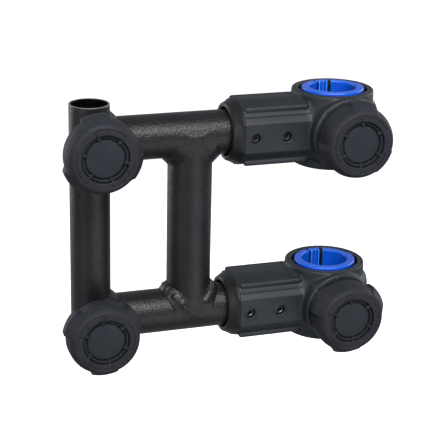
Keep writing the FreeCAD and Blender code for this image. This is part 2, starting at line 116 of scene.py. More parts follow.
def polygonise(shape, low, high, step):
    """Surface net of the zero level of shape(x, y, z): (vertices, quads)."""
    axes = [np.arange(a - 2 * step, b + 3 * step, step, dtype=np.float32) for a, b in zip(low, high)]
    field = shape(*np.meshgrid(*axes, indexing="ij"))
    cells = tuple(n - 1 for n in field.shape)
    count = np.zeros(int(np.prod(cells)))
    total = np.zeros((3, len(count)))
    quads = []
    for axis in range(3):
        shift = np.eye(3, dtype=int)[axis]
        first = field[tuple(slice(0, n - s) for n, s in zip(field.shape, shift))]
        second = field[tuple(slice(s, None) for s in shift)]
        crossing = (first < 0) != (second < 0)
        edge = np.argwhere(crossing)
        a, b = first[crossing], second[crossing]
        at = edge + (a / (a - b))[:, None] * shift
        p, q = (axis + 1) % 3, (axis + 2) % 3
        corners = []
        for dp, dq in ((0, 0), (1, 0), (1, 1), (0, 1)):
            cell = edge.copy()
            cell[:, p] -= dp
            cell[:, q] -= dq
            index = np.ravel_multi_index(cell.T, cells)
            corners.append(index)
            count += np.bincount(index, minlength=len(count))
            for c in range(3):
                total[c] += np.bincount(index, weights=at[:, c], minlength=len(count))
        quad = np.stack(corners, 1)
        quad[a > 0] = quad[a > 0][:, ::-1]
        quads.append(quad)
    used = np.nonzero(count)[0]
    number = np.zeros(len(count), int)
    number[used] = np.arange(len(used))
    start = np.array([axis[0] for axis in axes], float)
    points = start + (total[:, used] / count[used]).T * step
    for _ in range(2):  # draws the points onto the surface
        g = gradient(shape, points)
        size = np.maximum((g * g).sum(1), 0.05)
        move = np.clip(shape(*points.T) / size, -0.5 * step, 0.5 * step)
        points = points - g * move[:, None]
    return points, number[np.concatenate(quads)]


def loft(rings, closed=False):
    """Rings of equal length, in order, joined by quads. Unless closed, each end is shut by a fan."""
    n = len(rings[0])
    points = np.concatenate(rings)
    faces = []
    last = len(rings) if closed else len(rings) - 1
    for i in range(last):
        a, b = i * n, ((i + 1) % len(rings)) * n
        faces += [(a + k, a + (k + 1) % n, b + (k + 1) % n, b + k) for k in range(n)]
    if not closed:
        for ring, base, turn in ((rings[0], 0, -1), (rings[-1], (len(rings) - 1) * n, 1)):
            points = np.concatenate([points, ring.mean(0)[None]])
            hub = len(points) - 1
            faces += [(base + k, base + (k + 1) % n, hub)[::turn] for k in range(n)]
    return points, faces


def join(*parts):
    """Several (vertices, faces) as one."""
    points, faces, base = [], [], 0
    for p, f in parts:
        points.append(np.asarray(p))
        faces += [tuple(int(i) + base for i in face) for face in f]
        base += len(p)
    return np.concatenate(points), faces


ANGLES = np.arange(96) / 96 * TAU


def ring(radius, along, axis="x", angles=ANGLES, centre=(0.0, 0.0)):
    """Ring about an axis. radius and along are numbers or arrays over the angles."""
    r = np.broadcast_to(np.asarray(radius, float), angles.shape)
    s = np.broadcast_to(np.asarray(along, float), angles.shape)
    a, b = centre[0] + r * np.cos(angles), centre[1] + r * np.sin(angles)
    columns = {"x": (s, a, b), "y": (b, s, a), "z": (a, b, s)}[axis]
    return np.stack(columns, 1)


def lathe(profile, axis="x", angles=ANGLES, closed=True):
    """Solid of revolution from (along, radius) points that run once round the section."""
    return loft([ring(r, s, axis, angles) for s, r in profile], closed)


def piece(name, made, node, body, material, at=(0, 0, 0), crease=None):
    """Places a mesh, in millimetres, as the visible piece for a CAD node. made may be a ready mesh."""
    if isinstance(made, bpy.types.Mesh):
        mesh = made
    else:
        points, faces = made
        mesh = bpy.data.meshes.new(name)
        mesh.from_pydata((np.asarray(points) * MM).tolist(), [], [tuple(int(i) for i in f) for f in faces])
        mesh.validate()
        mesh.shade_smooth()
        if crease:
            mesh.set_sharp_from_angle(angle=math.radians(crease))
        mesh.materials.append(material)
    obj = bpy.data.objects.new(name, mesh)
    bpy.context.scene.collection.objects.link(obj)
    obj.location = Vector(at) * MM
    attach(obj, body)
    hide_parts(node)
    return obj


# ---------------------------------------------------------------- materials


# Painted shade: near black, and less shiny, inside the receiver's bore.
BORE_PAINTED_SHADE_BLACK = (0.001, 0.001, 0.001)
BORE_PAINTED_SHADE_SPECULAR = 0.04
# Painted highlight and wear: lighter grey on the receiver's upper rim.
RIM_SHEEN_AND_WEAR_GREY = (0.09, 0.09, 0.095)
PATCH = 14.0  # size of the slow change of colour
WEAR_PATCH = 3.0  # size of the breaks in a worn edge


def surface(name, dark, light, rough, grain, bump, specular, speckle=0.0, wear=None, metallic=0.0,
            bore=None):
    """Procedural finish. grain is the size of the surface texture, bump its height.

    speckle is the share of light flecks and wear the colour of worn edges. bore is the axis, the radius
    inside which a tube's wall is painted near black as shade, and the height of its rim, painted lighter grey
    as a highlight and wear.
    """
    material = bpy.data.materials.new(name)
    material.use_nodes = True
    tree = material.node_tree
    nodes, links = tree.nodes, tree.links
    shader = nodes["Principled BSDF"]
    shader.inputs["Specular IOR Level"].default_value = specular
    shader.inputs["Metallic"].default_value = metallic
    where = nodes.new("ShaderNodeTexCoord")

    def noise(size, detail):
        n = nodes.new("ShaderNodeTexNoise")
        n.inputs["Scale"].default_value = 1.0 / (size * MM)
        n.inputs["Detail"].default_value = detail
        n.inputs["Roughness"].default_value = 0.55
        links.new(where.outputs["Object"], n.inputs["Vector"])
        return n.outputs["Fac"]

    def remap(value, a, b, c, d):
        n = nodes.new("ShaderNodeMapRange")
        for key, number in zip(("From Min", "From Max", "To Min", "To Max"), (a, b, c, d)):
            n.inputs[key].default_value = number
        links.new(value, n.inputs["Value"])
        return n.outputs["Result"]

    def mix(factor, a, b):
        n = nodes.new("ShaderNodeMix")
        n.data_type = "RGBA"
        links.new(factor, n.inputs[0])
        for socket, value in ((n.inputs[6], a), (n.inputs[7], b)):
            if isinstance(value, tuple):
                socket.default_value = (*value, 1.0)
            else:
                links.new(value, socket)
        return n.outputs[2]

    fine = noise(grain, 4.0)
    broad = noise(PATCH, 3.0)
    colour = mix(remap(broad, 0.35, 0.65, 0.0, 1.0), dark, light)
    if speckle:
        flecks = remap(noise(grain * 0.8, 2.0), 0.6, 0.72, 0.0, speckle)
        colour = mix(flecks, colour, tuple(min(1.0, 3.2 * c) for c in light))
    if wear:
        edge = nodes.new("ShaderNodeNewGeometry").outputs["Pointiness"]
        worn = nodes.new("ShaderNodeMath")
        worn.operation = "MULTIPLY"
        links.new(remap(edge, 0.52, 0.60, 0.0, 1.0), worn.inputs[0])
        links.new(remap(noise(WEAR_PATCH, 3.0), 0.35, 0.6, 0.25, 1.0), worn.inputs[1])
        colour = mix(worn.outputs[0], colour, wear)
    # Painted shade: inside the bore's radius the colour is painted near black and the specular level lowered.
    if bore:
        axis_x, radius, rim = bore
        off = nodes.new("ShaderNodeVectorMath")
        off.operation = "MULTIPLY_ADD"
        off.inputs[1].default_value = (1, 1, 0)
        off.inputs[2].default_value = (-axis_x * MM, 0, 0)
        links.new(where.outputs["Object"], off.inputs[0])
        out = nodes.new("ShaderNodeVectorMath")
        out.operation = "LENGTH"
        links.new(off.outputs["Vector"], out.inputs[0])
        wall = remap(out.outputs["Value"], (radius - 0.1) * MM, (radius + 0.1) * MM, 0.0, 1.0)
        links.new(remap(wall, 0.0, 1.0, BORE_PAINTED_SHADE_SPECULAR, specular), shader.inputs["Specular IOR Level"])
        colour = mix(wall, BORE_PAINTED_SHADE_BLACK, colour)
        # Painted highlight and wear: the rim at the tube's upper end is painted lighter grey, chosen by
        # height.
        height = nodes.new("ShaderNodeSeparateXYZ")
        links.new(where.outputs["Object"], height.inputs[0])
        top = remap(height.outputs["Z"], (rim - 0.35) * MM, (rim - 0.1) * MM, 0.0, 1.0)
        colour = mix(top, colour, RIM_SHEEN_AND_WEAR_GREY)
    links.new(colour, shader.inputs["Base Color"])
    links.new(remap(fine, 0.3, 0.7, rough[0], rough[1]), shader.inputs["Roughness"])
    relief = nodes.new("ShaderNodeBump")
    relief.inputs["Strength"].default_value = 1.0
    relief.inputs["Distance"].default_value = bump * MM
    links.new(fine, relief.inputs["Height"])
    links.new(relief.outputs["Normal"], shader.inputs["Normal"])
    return material


POWDER_LOOK = dict(dark=(0.0034, 0.0032, 0.0042), light=(0.0052, 0.0050, 0.0062), rough=(0.27, 0.46),
                   grain=1.1, bump=0.34, specular=0.27, speckle=0.3)
POWDER = surface("powder_black", **POWDER_LOOK)
# The receiver: painted shade near black in its bore, and a painted highlight and wear in lighter grey on its
# upper rim.
POLE = surface("powder_black_pole", **POWDER_LOOK, bore=(POLE_X, 11.75, RIM_Z))
WELD = surface("weld_black", dark=(0.0036, 0.0034, 0.0044), light=(0.0056, 0.0054, 0.0066),
               rough=(0.27, 0.46), grain=1.1, bump=0.34, specular=0.28, speckle=0.3)
NYLON = surface("clamp_black", dark=(0.0075, 0.0090, 0.0118), light=(0.0102, 0.0121, 0.0155),
                rough=(0.42, 0.58), grain=0.35, bump=0.03, specular=0.22, wear=(0.028, 0.031, 0.036))
COLLAR = surface("collar_black", dark=(0.0045, 0.0045, 0.0050), light=(0.0065, 0.0065, 0.0070),
                 rough=(0.34, 0.48), grain=0.5, bump=0.03, specular=0.22, wear=(0.06, 0.06, 0.062))
GRIP = surface("grip_rubber", dark=(0.0088, 0.0098, 0.0130), light=(0.0120, 0.0132, 0.0172),
               rough=(0.52, 0.70), grain=0.30, bump=0.03, specular=0.14)
HUB = surface("hub_black", dark=(0.006, 0.0065, 0.008), light=(0.008, 0.0085, 0.010), rough=(0.5, 0.6),
              grain=0.4, bump=0.01, specular=0.2)
CAP = surface("cap_grey", dark=(0.0082, 0.0105, 0.0140), light=(0.0107, 0.0134, 0.0175), rough=(0.5, 0.64),
              grain=0.25, bump=0.02, specular=0.16)
BLUE = surface("insert_blue", dark=(0.001, 0.045, 0.33), light=(0.002, 0.058, 0.40), rough=(0.26, 0.38),
               grain=0.5, bump=0.012, specular=0.4, wear=(0.06, 0.33, 0.95))
STEEL = surface("zinc_steel", dark=(0.45, 0.46, 0.48), light=(0.58, 0.59, 0.60), rough=(0.28, 0.42),
                grain=0.4, bump=0.01, specular=0.5, metallic=1.0)
OXIDE = surface("oxide_steel", dark=(0.002, 0.002, 0.0025), light=(0.004, 0.004, 0.005), rough=(0.16, 0.26),
                grain=0.3, bump=0.006, specular=0.3)
SHOE = surface("shoe_nylon", dark=(0.55, 0.54, 0.50), light=(0.62, 0.61, 0.57), rough=(0.45, 0.55),
               grain=0.4, bump=0.01, specular=0.4)


# ---------------------------------------------------------------- tubes


def pipe(outer, inner, start, end, axis, centre, count=120, lip=0.3):
    """Tube wall with rounded lips. start and end take (angles, radius) and give a place on the axis."""
    angles = np.arange(count) / count * TAU
    rows = ((outer, lip), (outer - 0.3 * lip, 0.3 * lip), (outer - lip, 0.0),
            (inner + lip, 0.0), (inner + 0.3 * lip, 0.3 * lip), (inner, lip))
    first = [ring(r, start(angles, r) + inset, axis, angles, centre) for r, inset in reversed(rows)]
    last = [ring(r, end(angles, r) - inset, axis, angles, centre) for r, inset in rows]
    shares = np.linspace(0, 1, 14)[1:-1]
    outside = [first[-1] * (1 - t) + last[0] * t for t in shares]
    inside = [last[-1] * (1 - t) + first[0] * t for t in shares]
    return loft(first + outside + last + inside, closed=True)


def flat_end(place):
    return lambda angles, radius: np.full(angles.shape, float(place))


def receiver_cope(angles, radius):
    """Where a horizontal tube's wall meets the receiver and clears its boss. For axis x, y = r cos."""
    boss_clear = BOSS_R + 2.0
    boss_from = -4.0
    y, z = radius * np.cos(angles), radius * np.sin(angles)
    on_pole = POLE_X + np.sqrt(np.maximum(POLE_R**2 - y**2, 0.0))
    on_boss = POLE_X + np.sqrt(np.maximum(boss_clear**2 - z**2, 0.0))
    return np.where(y < boss_from, np.maximum(on_pole, on_boss), on_pole)


def strut_cope(angles, radius):
    """Height of the strut's wall above the lower tube's axis. For axis z, y = r sin."""
    y = radius * np.sin(angles)
    return np.sqrt(np.maximum(TUBE_R**2 - y**2, 0.0))


def strut_top_cope(angles, radius):
    """Height at which the strut's wall meets the upper tube."""
    return LEVELS["upper"] - strut_cope(angles, radius)


def boss_cope(angles, radius):
    """Depth at which the boss's wall sinks a little into the receiver. For axis y, x = r sin."""
    sunk = 0.2
    x = radius * np.sin(angles)
    return np.sqrt(np.maximum(POLE_R**2 - x**2, 0.0)) - sunk


def mirrored(made, axis, about):
    """A mesh mirrored across a plane, faces turned back."""
    points, faces = made
    points = points.copy()
    points[:, axis] = 2 * about - points[:, axis]
    return points, [tuple(f)[::-1] for f in faces]


def lifted(made, height):
    """A mesh moved up."""
    points, faces = made
    return points + (0, 0, height), faces


def receiver_shape(x, y, z):
    """Upright tube with a hole for each knob's stud in its front wall."""
    stud_hole = 4.1
    r = np.hypot(x - POLE_X, y)
    wall = smooth_max(r - POLE_R, POLE_BORE - r, 0.3)
    d = smooth_max(wall, np.abs(z - MID_Z) - (MID_Z + POLE_BEYOND), 0.4)
    for level in LEVELS.values():
        hole = np.maximum(np.hypot(x - POLE_X, z - level) - stud_hole, y)
        d = smooth_max(d, -hole, 0.2)
    return d


RECEIVER_BOX = ((POLE_X - POLE_R, -POLE_R, -POLE_BEYOND), (POLE_X + POLE_R, POLE_R, RIM_Z))
receiver = polygonise(receiver_shape, *RECEIVER_BOX, step=0.58)
piece("pole_receiver", receiver, "receiver_tube", "frame", POLE)
strut = pipe(TUBE_R, TUBE_BORE, strut_cope, strut_top_cope, "z", (STRUT_X, 0.0))
piece("strut", strut, "strut_tube", "frame", POWDER, crease=40)
arm = pipe(TUBE_R, TUBE_BORE, receiver_cope, flat_end(TUBE_END), "x", (0.0, 0.0))
boss = pipe(BOSS_R, BOSS_BORE, boss_cope, flat_end(BOSS_END), "y", (0.0, POLE_X), count=72, lip=0.4)
boss = mirrored(boss, 1, 0.0)
for level, height in LEVELS.items():
    piece("arm_" + level, lifted(arm, height), level + "_tube", "frame", POWDER, crease=40)
    piece("knob_boss_" + level, lifted(boss, height), "boss_" + level, "frame", POWDER,
          crease=35)


# ---------------------------------------------------------------- weld beads


def spots(path, pitch, jitter):
    """Places about a pitch apart along a closed path, each moved along it by up to the jitter in pitches."""
    gaps = np.linalg.norm(np.roll(path, -1, 0) - path, axis=1)
    length = np.concatenate([[0.0], np.cumsum(gaps)])
    count = int(length[-1] / pitch)
    stops = (np.arange(count) + RNG.uniform(-jitter, jitter, count)) * length[-1] / count
    closed = np.concatenate([path, path[:1]])
    return np.stack([np.interp(stops, length, closed[:, c]) for c in range(3)], 1)


def trimmed(d, x, y, z, low, high, keep_out):
    """A distance cut by a box and where keep_out is negative."""
    walls = [lo - v for v, lo in zip((x, y, z), low)] + [v - hi for v, hi in zip((x, y, z), high)]
    for wall in [*walls, -keep_out]:
        d = smooth_max(d, wall, 0.3)
    return d


def beads(path, keep_out, low, high, pitch, size, rough, blend):
    """Overlapping lumps of weld along a closed path, cut where keep_out is negative."""
    centres = spots(path, pitch, 0.18)
    centres += RNG.uniform(-0.35, 0.35, centres.shape) * rough
    radii = size * RNG.uniform(1 - 0.22 * rough, 1 + 0.22 * rough, len(centres))

    def shape(x, y, z):
        d = np.full(np.shape(x), 40.0)
        for (cx, cy, cz), r in zip(centres, radii):
            d = smooth_min(d, np.sqrt((x - cx) ** 2 + (y - cy) ** 2 + (z - cz) ** 2) - r, blend)
        return trimmed(d, x, y, z, low, high, keep_out(x, y, z))

    return polygonise(shape, low, high, step=0.5)


def saddle_weld(first, second, spread, path, low, high, reach, height, pitch, weight=None):
    """Concave weld between two tubes, given as distances, with the lumps of its beads along a closed path.

    spread gives the weld's size in the corner, and reach is its greatest distance from both tubes. A lump
    is as high as height times the weight of its place.
    """
    sunk = 0.7
    centres = spots(path, pitch, 0.25)
    count = len(centres)
    centres += RNG.uniform(-0.7, 0.7, centres.shape)
    heights = height * RNG.uniform(0.35, 1.25, count)
    if weight is not None:
        heights = heights * weight(centres)
    sizes = RNG.uniform(2.2, 4.2, count)

    def shape(x, y, z):
        a, b = first(x, y, z), second(x, y, z)
        lump = 0.0
        for (cx, cy, cz), h, size in zip(centres, heights, sizes):
            lump = lump + h * np.exp(-((x - cx) ** 2 + (y - cy) ** 2 + (z - cz) ** 2) / size)
        d = smooth_min(a, b, spread(x, y, z)) - lump
        d = smooth_max(d, np.hypot(np.maximum(a, 0), np.maximum(b, 0)) - reach - 0.7 * lump, 0.8)
        return trimmed(d, x, y, z, low, high, sunk + np.minimum(a, b))

    return polygonise(shape, low, high, step=0.45)


def strut_side(x, y, z):
    """The strut's side, let go below the lower tube's axis."""
    return smooth_max(np.hypot(x - STRUT_X, y) - TUBE_R, -0.6 * z - 0.3, 1.0)


def arm_side(x, y, z):
    """The lower horizontal tube's side."""
    return np.hypot(y, z) - TUBE_R


def pole_side(x, y, z):
    """The receiver's side."""
    return np.hypot(x - POLE_X, y) - POLE_R


def strut_spread(x, y, z):
    """The weld is full in the corners beside the strut and thin across its front and back."""
    return 3.0 + 6.0 * np.clip((np.abs(x - STRUT_X) - 3.0) / 9.0, 0, 1) * ramp(z, 0.0, 7.0)


def corner_weight(centres):
    """Big lumps beside the strut, small ones across its front and back."""
    return 0.25 + 0.95 * ramp(np.abs(centres[:, 0] - STRUT_X), 5.0, 11.0)


def strut_seam(count=160):
    """Saddle where the strut stands on the lower tube, moved out into the corner between them."""
    t = np.arange(count) / count * TAU
    corner = np.abs(np.cos(t))
    x = STRUT_X + (TUBE_R + 1.7 * corner) * np.cos(t)
    y = (TUBE_R + 0.6) * np.sin(t)
    z = TUBE_R * corner + 1.7 * corner
    return np.stack([x, y, z], 1)


def pole_seam(count=160):
    """Seam of a horizontal tube on the receiver, moved out into the corner."""
    t = np.arange(count) / count * TAU
    y, z = (TUBE_R + 1.2) * np.cos(t), (TUBE_R + 1.2) * np.sin(t)
    x = POLE_X + np.sqrt(np.maximum(POLE_R**2 - np.minimum(np.abs(y), POLE_R) ** 2, 0.0))
    return np.stack([x + 1.5, y, z], 1)


def boss_seam(count=100):
    """Seam of a boss on the receiver's front."""
    t = np.arange(count) / count * TAU
    seam_r = BOSS_R + 0.4
    x, z = seam_r * np.cos(t), seam_r * np.sin(t)
    return np.stack([POLE_X + x, -np.sqrt(POLE_R**2 - x**2) - 0.5, z], 1)


def boss_hollow(x, y, z):
    """Negative inside the receiver and the boss, each a little under its skin."""
    return np.minimum(np.hypot(x - POLE_X, y) - (POLE_R - 0.5), np.hypot(x - POLE_X, z) - (BOSS_R - 0.6))


STRUT_BOX = ((-112.7, -16.4, -6.0), (-75.3, 16.4, 18.9))
POLE_BOX = ((-157.9, -16.0, -17.9), (-141.6, 17.0, 17.9))
BOSS_BOX = ((-167.9, -14.4, -9.9), (-148.1, -7.6, 9.9))
STRUT_LUMPS = {"lower": 2.6, "upper": 0.7}  # height of the strut welds' lumps


def pole_spread(x, y, z):
    """The weld on the receiver is as full all the way round."""
    return 8.0


def pole_first(x, y, z):
    """The receiver's side and the knob's boss."""
    return np.minimum(pole_side(x, y, z), np.maximum(np.hypot(x - POLE_X, z) - BOSS_R, y))


for level, height in LEVELS.items():
    bead = saddle_weld(strut_side, arm_side, strut_spread, strut_seam(), *STRUT_BOX,
                       reach=4.9, height=STRUT_LUMPS[level], pitch=3.6, weight=corner_weight)
    if level == "upper":
        bead = mirrored(bead, 2, MID_Z)
    piece("weld_strut_bead_" + level, bead, "weld_strut_" + level, "frame", WELD)
    bead = saddle_weld(pole_first, arm_side, pole_spread, pole_seam(), *POLE_BOX,
                       reach=4.6, height=0.9, pitch=3.0)
    bead = lifted(bead, height)
    piece("weld_receiver_bead_" + level, bead, "weld_receiver_" + level, "frame", WELD)
    bead = beads(boss_seam(), boss_hollow, *BOSS_BOX, pitch=2.4, size=1.5, rough=0.6, blend=0.9)
    bead = lifted(bead, height)
    piece("weld_boss_bead_" + level, bead, "weld_boss_" + level, "frame", WELD)


# ---------------------------------------------------------------- moulded clamps

# One quarter of the barrel's outline, as y and z
BARREL = [(0.0, 21.0), (4.5, 21.0), (14.2, 17.2), (19.2, 12.2), (21.5, 9.0), (21.5, 0.0)]
BARREL_END = -65.0
COLLAR_END = -72.0
SOCKET_R = TUBE_R + 0.1
MOUTH_R = 16.9
MOUTH_END = -62.0
CHEEK_R, CHEEK_FACE = 23.0, -29.0
NOSE_R, NOSE_FACE = 11.0, -33.15
STUD_HOLE_R, NUT_ACROSS, NUT_MIDDLE, NUT_HALF = 4.4, 13.05, -28.9, 3.25
SCREWS_X = (-38.1, -58.5)
SCREW_HOLE_R = 3.2
RING_STATIONS = [-24, -23.4, -19, -15, -10, 9.5, 13, 16.5, 23, 24]  # heights on the clamp ring
RING_RADII = [24, 24.5, 24.7, 27.8, 29, 29, 28.4, 26.1, 26, 25.4]
CLAMP_BOX = ((-65, -33.2, -24), (29, 29, 24))
SLEEVE_MIDDLE, SLEEVE_HALF_WALL = 17.25, 2.25
SLITS = (75.0, 105.0)  # degrees from the X axis
SLIT_HALF, SLIT_FOOT = 1.1, -15.0
FLUTES = (85.5, 94.5)
FLUTE_R, FLUTE_FOOT = 0.95, -20.0
INSERT_BOX = ((-21, -21, -23.5), (21, 19.5, 25))


def barrel_section(y, z, soft=0.5):
    """Signed distance of the barrel's outline, one quarter mirrored twice."""
    y, z = np.abs(y), np.abs(z)
    d = None
    for (y0, z0), (y1, z1) in zip(BARREL, BARREL[1:]):
        size = math.hypot(y1 - y0, z1 - z0)
        plane = (y - y0) * (z0 - z1) / size + (z - z0) * (y1 - y0) / size
        d = plane if d is None else smooth_max(d, plane, soft)
    return d


def ring_radius(z):
    """Outside of the clamp ring, a band between two thinner rims."""
    return soft_profile(z, RING_STATIONS, RING_RADII, 0.6)


def hexagon(u, v, across):
    """Distance from a hexagonal prism's sides, corners on u."""
    d = None
    for k in range(3):
        a = math.radians(60 * k + 30)
        side = np.abs(u * math.cos(a) + v * math.sin(a)) - across / 2
        d = side if d is None else np.maximum(d, side)
    return d


def grooved_barrel(x, y, z):
    """The barrel with a rib and two grooves along each corner."""
    ay, az = np.abs(y), np.abs(z)
    d = barrel_section(y, z)
    d = smooth_min(d, capsule(x, ay, az, -62.0, -24.0, 15.0, 16.9, 2.0), 0.25)
    d = smooth_max(d, -capsule(x, ay, az, -70.0, -17.0, 18.4, 13.9, 1.1), 0.2)
    d = smooth_max(d, -capsule(x, ay, az, -70.0, -19.0, 6.8, 20.9, 1.0), 0.2)
    d = smooth_max(d, BARREL_END - x, 0.8)
    return smooth_max(d, x, 0.8)


def clamp_shape(x, y, z):
    """Barrel, ring, cheek and nose in one, with the bores, the nut's pocket and the set screws' holes."""
    r = np.hypot(x, y)
    out = np.hypot(x, z)
    az = np.abs(z)
    hoop = smooth_max(r - ring_radius(z), az - RING_H, 0.9)
    cheek = smooth_max(smooth_max(out - CHEEK_R, CHEEK_FACE - y, 1.2), y, 1.0)
    nose = smooth_max(smooth_max(out - NOSE_R, NOSE_FACE - y, 0.8), y, 1.0)
    d = smooth_min(smooth_min(hoop, grooved_barrel(x, y, z), 2.6), cheek, 2.0)
    d = smooth_max(d, az - RING_H, 0.9)
    d = smooth_min(d, nose, 1.0)
    bore = 19.8 - r
    flange_seat = np.maximum(r - 21.9, 21.6 - z)
    seat_gap = np.maximum(np.abs(r - 21.2) - 0.7, 18.5 - z)
    rim_groove = np.maximum(np.abs(r - 24.1) - 0.45, 23.2 - z)
    d = smooth_max(d, bore, 0.7)
    d = smooth_max(d, -flange_seat, 0.4)
    d = smooth_max(d, -seat_gap, 0.3)
    d = smooth_max(d, -rim_groove, 0.3)
    socket = np.maximum(np.hypot(y, z) - SOCKET_R, x - TUBE_END)
    mouth = np.maximum(np.hypot(y, z) - MOUTH_R, x - MOUTH_END)
    d = smooth_max(d, -np.minimum(socket, mouth), 0.3)
    hole = np.maximum(out - STUD_HOLE_R, y + 18.0)
    pocket = np.maximum(hexagon(x, z, NUT_ACROSS), np.abs(y - NUT_MIDDLE) - NUT_HALF)
    d = smooth_max(d, -np.minimum(hole, pocket), 0.2)
    for screw_x in SCREWS_X:
        near = np.hypot(x - screw_x, z)
        lip = np.hypot(near - 3.75, y + 21.3) - 0.55
        d = smooth_min(d, np.maximum(lip, -21.95 - y), 0.3)
        d = smooth_max(d, -np.maximum(near - SCREW_HOLE_R, y + 13.0), 0.35)
    return d


def insert_shape(x, y, z):
    """Reducer sleeve, its flange round the front, with two slits and two flutes on one side."""
    r = np.hypot(x, y)
    sleeve = smooth_max(np.abs(r - SLEEVE_MIDDLE) - SLEEVE_HALF_WALL, np.abs(z - 0.5) - 24.0, 0.7)
    side = np.abs(np.degrees(np.arctan2(x, -y)))
    flange = smooth_max(np.abs(r - 17.5) - 2.5, np.abs(z - 23.5) - 1.5, 1.3)
    flange = smooth_max(flange, (side - 100.0) * 0.35, 0.6)
    d = smooth_min(sleeve, flange, 0.5)
    for degrees in SLITS:
        c, s = math.cos(math.radians(degrees)), math.sin(math.radians(degrees))
        slit = np.maximum(np.abs(x * s - y * c) - SLIT_HALF, SLIT_FOOT - z)
        d = smooth_max(d, -np.maximum(slit, -(x * c + y * s)), 0.4)
    for degrees in FLUTES:
        c, s = math.cos(math.radians(degrees)), math.sin(math.radians(degrees))
        flute = np.hypot(x - (LEG_R + 0.1) * c, y - (LEG_R + 0.1) * s) - FLUTE_R
        d = smooth_max(d, -np.maximum(flute, FLUTE_FOOT - z), 0.3)
    return d


def barrel_radius(angles):
    """Polar radius of the barrel's outline, y = r cos, z = r sin."""
    c, s = np.abs(np.cos(angles)), np.abs(np.sin(angles))
    best = np.full(angles.shape, 99.0)
    for (y0, z0), (y1, z1) in zip(BARREL, BARREL[1:]):
        size = math.hypot(y1 - y0, z1 - z0)
        ny, nz = (z0 - z1) / size, (y1 - y0) / size
        reach = (y0 * ny + z0 * nz) / np.maximum(c * ny + s * nz, 1e-6)
        best = np.minimum(best, reach)
    return best


def collar_mesh():
    """Bevelled ring between the barrel's outline and a round mouth."""
    mouth_r = 17.9
    outline = barrel_radius(ANGLES) - 0.15
    rows = []
    for along, share, drop in ((-65.1, 0.0, 0.5), (-65.4, 0.0, 0.1), (-66.0, 0.02, 0.0), (-66.7, 0.2, 0.0),
                               (-69.2, 0.62, 0.0), (-71.4, 0.9, 0.0), (-71.9, 1.0, 0.35)):
        rows.append(ring(outline * (1 - share) + mouth_r * share - drop, along))
    for along, radius in ((COLLAR_END, 17.1), (COLLAR_END, 15.9), (-71.7, 15.5), (-71.2, 15.3), (-62.4, 15.3),
                          (MOUTH_END, 15.6), (MOUTH_END, 16.6), (-62.3, 16.85), (-65.05, 16.85)):
        rows.append(ring(radius, along))
    return loft(rows, closed=True)


def hex_radius(angles, across):
    """Polar radius of a hexagon."""
    return across / 2 / np.cos((angles % (TAU / 6)) - TAU / 12)


def screw_mesh():
    """M6 socket set screw on the Y axis, its socket at the front, threads as fine rings."""
    angles = np.arange(72) / 72 * TAU
    crest, root, pitch = 2.98, 2.62, 0.9
    back = [(1.2, -14.0), (2.4, -14.0), (2.9, -14.6)]
    front = [(crest, -19.5), (2.85, -19.85), (2.5, -20.0)]
    threads = []
    y = -14.8
    while y > -19.3:
        threads += [(crest, y), (root, y - pitch / 2)]
        y -= pitch
    rows = [ring(r, place, "y", angles) for r, place in back + threads + front]
    socket = hex_radius(angles, 3.0)
    for grow, place in ((0.35, -20.0), (0.0, -19.7), (0.0, -17.4), (-0.4, -17.2)):
        rows.append(ring(socket + grow, place, "y", angles))
    rows.append(ring(0.2, -16.9, "y", angles))
    return loft([r[::-1] for r in rows])


clamp = polygonise(clamp_shape, *CLAMP_BOX, step=0.6)
insert = polygonise(insert_shape, *INSERT_BOX, step=0.42)
collar = collar_mesh()
screw_points, screw_faces = screw_mesh()
screws = join(*[(screw_points + (screw_x, 0, 0), screw_faces) for screw_x in SCREWS_X])
shared = {}


def shared_piece(key, name, made, node, body, material, at=(0, 0, 0), crease=None):
    """As piece(), with one mesh for every use of the key."""
    obj = piece(name, shared.get(key, made), node, body, material, at, crease)
    shared[key] = obj.data
    return obj


for level, height in LEVELS.items():
    at = (0, 0, height)
    shared_piece("clamp", "clamp_" + level, clamp, "clamp_body_" + level, "frame", NYLON, at)
    shared_piece("insert", "sleeve_" + level, insert, "insert_" + level, "leg_insert_" + level,
                 BLUE, at)
    shared_piece("collar", "barrel_collar_" + level, collar, "collar_" + level, "frame",
                 COLLAR, at, crease=50)
    shared_piece("screws", "socket_screws_" + level, screws, "set_screws_" + level, "frame",
                 OXIDE, at, crease=40)
    for slot_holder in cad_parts["clamp_nut_" + level].material_slots:
        slot_holder.material = STEEL


# ---------------------------------------------------------------- knobs, local: x right, y = -outward, z up

FACE = 20.0
LOBE_HALF = 21.0  # degrees
SKIRT = 4.2
CORE_R, CORE_TOP = 19.5, 14.0
CAP_R = 11.5
PAD_FROM, PAD_TO = -54.0, 12.0  # degrees from a lobe's middle
GRIP_BOX = ((-25.3, -20.1, -25.3), (25.3, -4.0, 25.3))
HUB_BOX = ((-19.6, -16.9, -19.6), (19.6, 0, 19.6))


def around(turn, repeat):
    """Degrees from the nearest of the places that repeat round the knob."""
    return (turn + repeat / 2) % repeat - repeat / 2


def knob_outline(rho, turn, w):
    """Radial distance from the grip's side, lobes included. turn in degrees from the first lobe's middle."""
    base = soft_profile(w, [4.2, 5.2, 13.2, 17.2, 19.6, 20.4], [22.0, 22.6, 22.6, 21.5, 19.9, 19.2], 0.5)
    lobe = soft_profile(w, [4.2, 5.2, 11.6, 18.9, 20.4], [23.9, 24.7, 25.2, 21.0, 19.3], 0.35)
    a = around(turn, 120.0)
    up = ramp(a, -LOBE_HALF - 4.0, -LOBE_HALF + 5.0)
    down = 1 - ramp(a, LOBE_HALF - 1.0, LOBE_HALF + 1.6)
    return rho - (base + up * down * (lobe - base))


